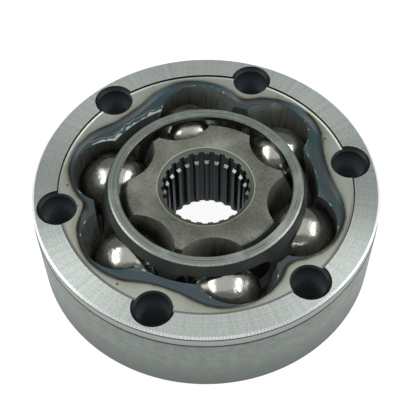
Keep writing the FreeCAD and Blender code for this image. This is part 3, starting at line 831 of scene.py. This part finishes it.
def dress(node, piece, rule, body):
    """Shows a merged and smoothed copy of a CAD node, with the finishes that the rule gives."""
    source = frame["nodes"][node].data
    mesh = bpy.data.meshes.new(piece)
    mesh.from_pydata([v.co for v in source.vertices], [], [p.vertices[:] for p in source.polygons])
    shell = bmesh.new()
    shell.from_mesh(mesh)
    bmesh.ops.remove_doubles(shell, verts=shell.verts, dist=WELD_DISTANCE * MM)
    shell.normal_update()
    finishes = []
    for face in shell.faces:
        middle = face.calc_center_median() / MM
        finish = rule(middle.x, middle.y, middle.z, face.normal.z)
        if finish not in finishes:
            finishes.append(finish)
            mesh.materials.append(finish)
        face.material_index = finishes.index(finish)
        face.smooth = True
    # An edge between two finishes is a real edge, so it stays sharp however shallow it is
    for edge in shell.edges:
        pair = edge.link_faces
        same = len(pair) == 2 and pair[0].material_index == pair[1].material_index
        edge.smooth = same and edge.calc_face_angle(0.0) < radians(SHARP_ANGLE)
    shell.to_mesh(mesh)
    shell.free()
    made = put(piece, mesh)
    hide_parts(node)
    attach(made, body)
    print(piece, "has", len(mesh.polygons), "faces and the finishes", [f.name for f in finishes])


dress("outer_race", "outer_race_finished", outer_finish, "outer_race")
dress("inner_race", "inner_race_finished", inner_finish, "inner_race")
dress("ball_cage", "ball_cage_finished", cage_finish, "cage")

# %% [markdown]
# ## Balls
#
# The balls are hardened chrome steel, lapped to a mirror. A ball shows everything around it: the
# bright light above, the dark tracks beside it and the pale table. A low roughness makes that
# look, and a thin film of oil bends it. The CAD balls could be kept, but a mirror shows their flat
# triangles. So all six come from one small Geometry Nodes tree, which puts a finer sphere of the
# same size in its place on the pitch circle, turned to its own window.

# %% Chrome steel
def chrome_steel(tree):
    """Lapped chrome steel: a warm grey mirror, smeared where oil lies on it."""
    film_size = 5
    place = add(tree, "ShaderNodeTexCoord").outputs["Object"]
    # A film of oil lies in clouds. It softens the mirror and bends its picture
    clouds = {"Vector": place, "Scale": 1 / (film_size * MM), "Detail": 3.0}
    film = add(tree, "ShaderNodeTexNoise", clouds)
    rough = add(tree, "ShaderNodeMapRange", {0: film, 1: 0.35, 2: 0.65, 3: 0.12, 4: 0.3})
    ripple = add(tree, "ShaderNodeBump", {"Height": film, "Distance": 0.25 * MM})
    return add(tree, "ShaderNodeBsdfPrincipled", {
        "Base Color": "#a5a49d", "Metallic": 1.0, "Roughness": rough, "Normal": ripple})


CHROME = material("lapped_chrome_steel", chrome_steel)


# %% One tree for all the balls
def ball_tree():
    tree = bpy.data.node_groups.new("ball_in_its_window", "GeometryNodeTree")
    tree.interface.new_socket("Geometry", in_out="OUTPUT", socket_type="NodeSocketGeometry")
    sizes = {}
    for name in ("Radius", "Pitch Radius", "Height", "Turn"):
        socket = tree.interface.new_socket(name, in_out="INPUT", socket_type="NodeSocketFloat")
        sizes[name] = socket.identifier
    given = add(tree, "NodeGroupInput")
    ball = add(tree, "GeometryNodeMeshIcoSphere", {"Radius": given.outputs["Radius"], "Subdivisions": 6})
    arm = add(tree, "ShaderNodeCombineXYZ", {0: given.outputs["Pitch Radius"], 2: given.outputs["Height"]})
    out = add(tree, "GeometryNodeTransform", {"Geometry": ball, "Translation": arm})
    turn = add(tree, "ShaderNodeCombineXYZ", {2: given.outputs["Turn"]})
    placed = add(tree, "GeometryNodeTransform", {"Geometry": out, "Rotation": turn})
    smooth = add(tree, "GeometryNodeSetShadeSmooth", {"Geometry": placed})
    real = add(tree, "GeometryNodeRealizeInstances", {"Geometry": smooth})
    painted = add(tree, "GeometryNodeSetMaterial", {"Geometry": real, "Material": CHROME})
    add(tree, "NodeGroupOutput", {0: painted})
    return tree, sizes


BALL_TREE, BALL_SIZES = ball_tree()
print("the tree's inputs are", list(BALL_SIZES))

# %% Six balls as plain meshes
# A ball sits a little outside the middle line of its track
BALL_SEAT = 0.28
BALL_PITCH = PITCH_RADIUS + BALL_SEAT


def settle(name, tree, inputs):
    """Runs a Geometry Nodes tree on a new object and keeps its result as a plain mesh."""
    made = put(name, bpy.data.meshes.new(name + "_start"))
    modifier = made.modifiers.new("shape", "NODES")
    modifier.node_group = tree
    for identifier, value in inputs.items():
        modifier[identifier] = value
    shaped = made.evaluated_get(bpy.context.evaluated_depsgraph_get())
    mesh = bpy.data.meshes.new_from_object(shaped)
    made.modifiers.clear()
    made.data = mesh
    mesh.name = name
    return made


for number in range(1, TRACK_COUNT + 1):
    turn = radians(TRACK_STEP * (number - 1))
    values = (BALL_RADIUS * MM, BALL_PITCH * MM, CENTRE_HEIGHT * MM, turn)
    ball = settle(f"ball_{number}_lapped", BALL_TREE, dict(zip(BALL_SIZES.values(), values)))
    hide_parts(f"ball_{number}")
    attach(ball, f"ball_{number}")
print(TRACK_COUNT, "balls of", 2 * BALL_RADIUS, "mm with", len(ball.data.polygons), "faces each")

# %% [markdown]
# ## Table, light and camera
#
# The photograph has a white ground and soft light from above. Each ball shows two bright bars with
# a grey field between them, so two lamps stand left and right of a dimmer ceiling. They also draw
# the two pale wedges on the turned face. Two low side lamps brighten the left and right of the
# turned side, and a narrow card in front lights the chamfer. A dim even sky fills the shadows. A
# picture of a studio would light it too, but then no bar could be moved by itself.

# %% Pale table that glows a little, like a light table
# Half of its length in metres, so large that no low view shows its edge
TABLE_HALF = 30.0


def white_table(tree):
    """White matt board that glows evenly, with a shadow painted into its glow in a ring under the joint."""
    polar = add(tree, "ShaderNodeGroup", node_tree=POLAR)
    # A shadow is painted in a ring under the joint, about 19 to 50 mm from the axis, while the disc
    # seen through the bore keeps its glow. The ramp's places are shares of 100 mm
    share = add(tree, "ShaderNodeMapRange", {0: polar.outputs["Radius mm"], 1: 0.0, 2: 100.0})
    glow_and_painted_shadow = add(tree, "ShaderNodeValToRGB", {0: share}, stops=[
        (0.0, "#ffffff"), (0.17, "#ffffff"), (0.19, "#202020"), (0.5, "#202020"), (0.54, "#ffffff")])
    return add(tree, "ShaderNodeBsdfPrincipled", {
        "Base Color": "#747474", "Roughness": 0.9, "Emission Color": glow_and_painted_shadow, "Emission Strength": 0.92})


def pale_table():
    mesh = bpy.data.meshes.new("table")
    signs = [(-1, -1), (1, -1), (1, 1), (-1, 1)]
    mesh.from_pydata([(TABLE_HALF * x, TABLE_HALF * y, 0) for x, y in signs], [], [(0, 1, 2, 3)])
    table = put("table", mesh)
    mesh.materials.append(material("white_table", white_table))
    return table


print("the table is", 2 * TABLE_HALF, "metres wide:", pale_table().name)

# %% Lamps around the joint
# The camera's azimuth, which the lamps turn with, and its elevation in degrees
AZIMUTH, ELEVATION = 19.59, 56.30
# Metres from the joint
LAMP_DISTANCE = 0.8


def lamp(name, side_angle, front_angle, width, depth, radiance):
    """A lamp tilted sideways or forwards from straight above, as the camera sees it. Sizes in metres."""
    data = bpy.data.lights.new(name, "AREA")
    data.shape = "RECTANGLE"
    data.size = width
    data.size_y = depth
    data.energy = radiance * pi * width * depth
    tilted = Matrix.Rotation(radians(side_angle), 4, "Y") @ Matrix.Rotation(radians(front_angle), 4, "X")
    turned = Matrix.Rotation(radians(AZIMUTH), 4, "Z") @ tilted
    put(name, data).matrix_world = turned @ Matrix.Translation((0, 0, LAMP_DISTANCE))


lamp("ceiling", 0, 0, 1.0, 0.8, 0.7)
lamp("left_lamp", -40, 0, 0.22, 0.6, 5.5)
lamp("right_lamp", 40, 0, 0.22, 0.6, 5.0)
lamp("low_left_lamp", -72, 0, 0.3, 0.5, 2.8)
lamp("low_right_lamp", 72, 0, 0.3, 0.5, 2.8)
lamp("front_card", 0, 56, 0.7, 0.1, 2.0)
print(len(bpy.data.lights), "lamps")

# %% Dim sky and plain colours
world = bpy.data.worlds.new("pale_room")
bpy.context.scene.world = world
world.use_nodes = True
sky = world.node_tree.nodes["Background"]
sky.inputs["Color"].default_value = colour("#f3f6f4")
sky.inputs["Strength"].default_value = 0.3
bpy.context.scene.view_settings.view_transform = "Standard"
print("made", world.name)

# %% [markdown]
# The camera stands where the photograph was taken from. It could be placed by eye, but a ring
# shows the smallest error in its angle. So its place and lens were fitted to the rim, the six bolt
# holes and the outline of the side, and its shift puts the joint where it is in the picture.

# %% Camera at the photograph's angle
# Roll in degrees, distance in millimetres, and the lens and the joint's foot in pixels
ROLL, DISTANCE = -0.51, 316.0
FOCAL_PIXELS, PICTURE = 941.7, 416
AXIS_PIXEL = (206.3, 237.3)


def photo_camera():
    data = bpy.data.cameras.new("photo_camera")
    data.sensor_width = 36.0
    data.lens = FOCAL_PIXELS / PICTURE * data.sensor_width
    data.shift_x = (PICTURE / 2 - AXIS_PIXEL[0]) / PICTURE
    data.shift_y = (AXIS_PIXEL[1] - PICTURE / 2) / PICTURE
    data.clip_start = 0.01
    camera = put("photo_camera", data)
    turn, rise = radians(AZIMUTH), radians(ELEVATION)
    back = Vector((sin(turn) * cos(rise), -cos(turn) * cos(rise), sin(rise)))
    look = (-back).to_track_quat("-Z", "Y").to_matrix() @ Matrix.Rotation(radians(ROLL), 3, "Z")
    camera.matrix_world = Matrix.Translation(back * DISTANCE * MM) @ look.to_4x4()
    bpy.context.scene.camera = camera
    return camera


print("camera at", [round(v, 3) for v in photo_camera().matrix_world.translation])
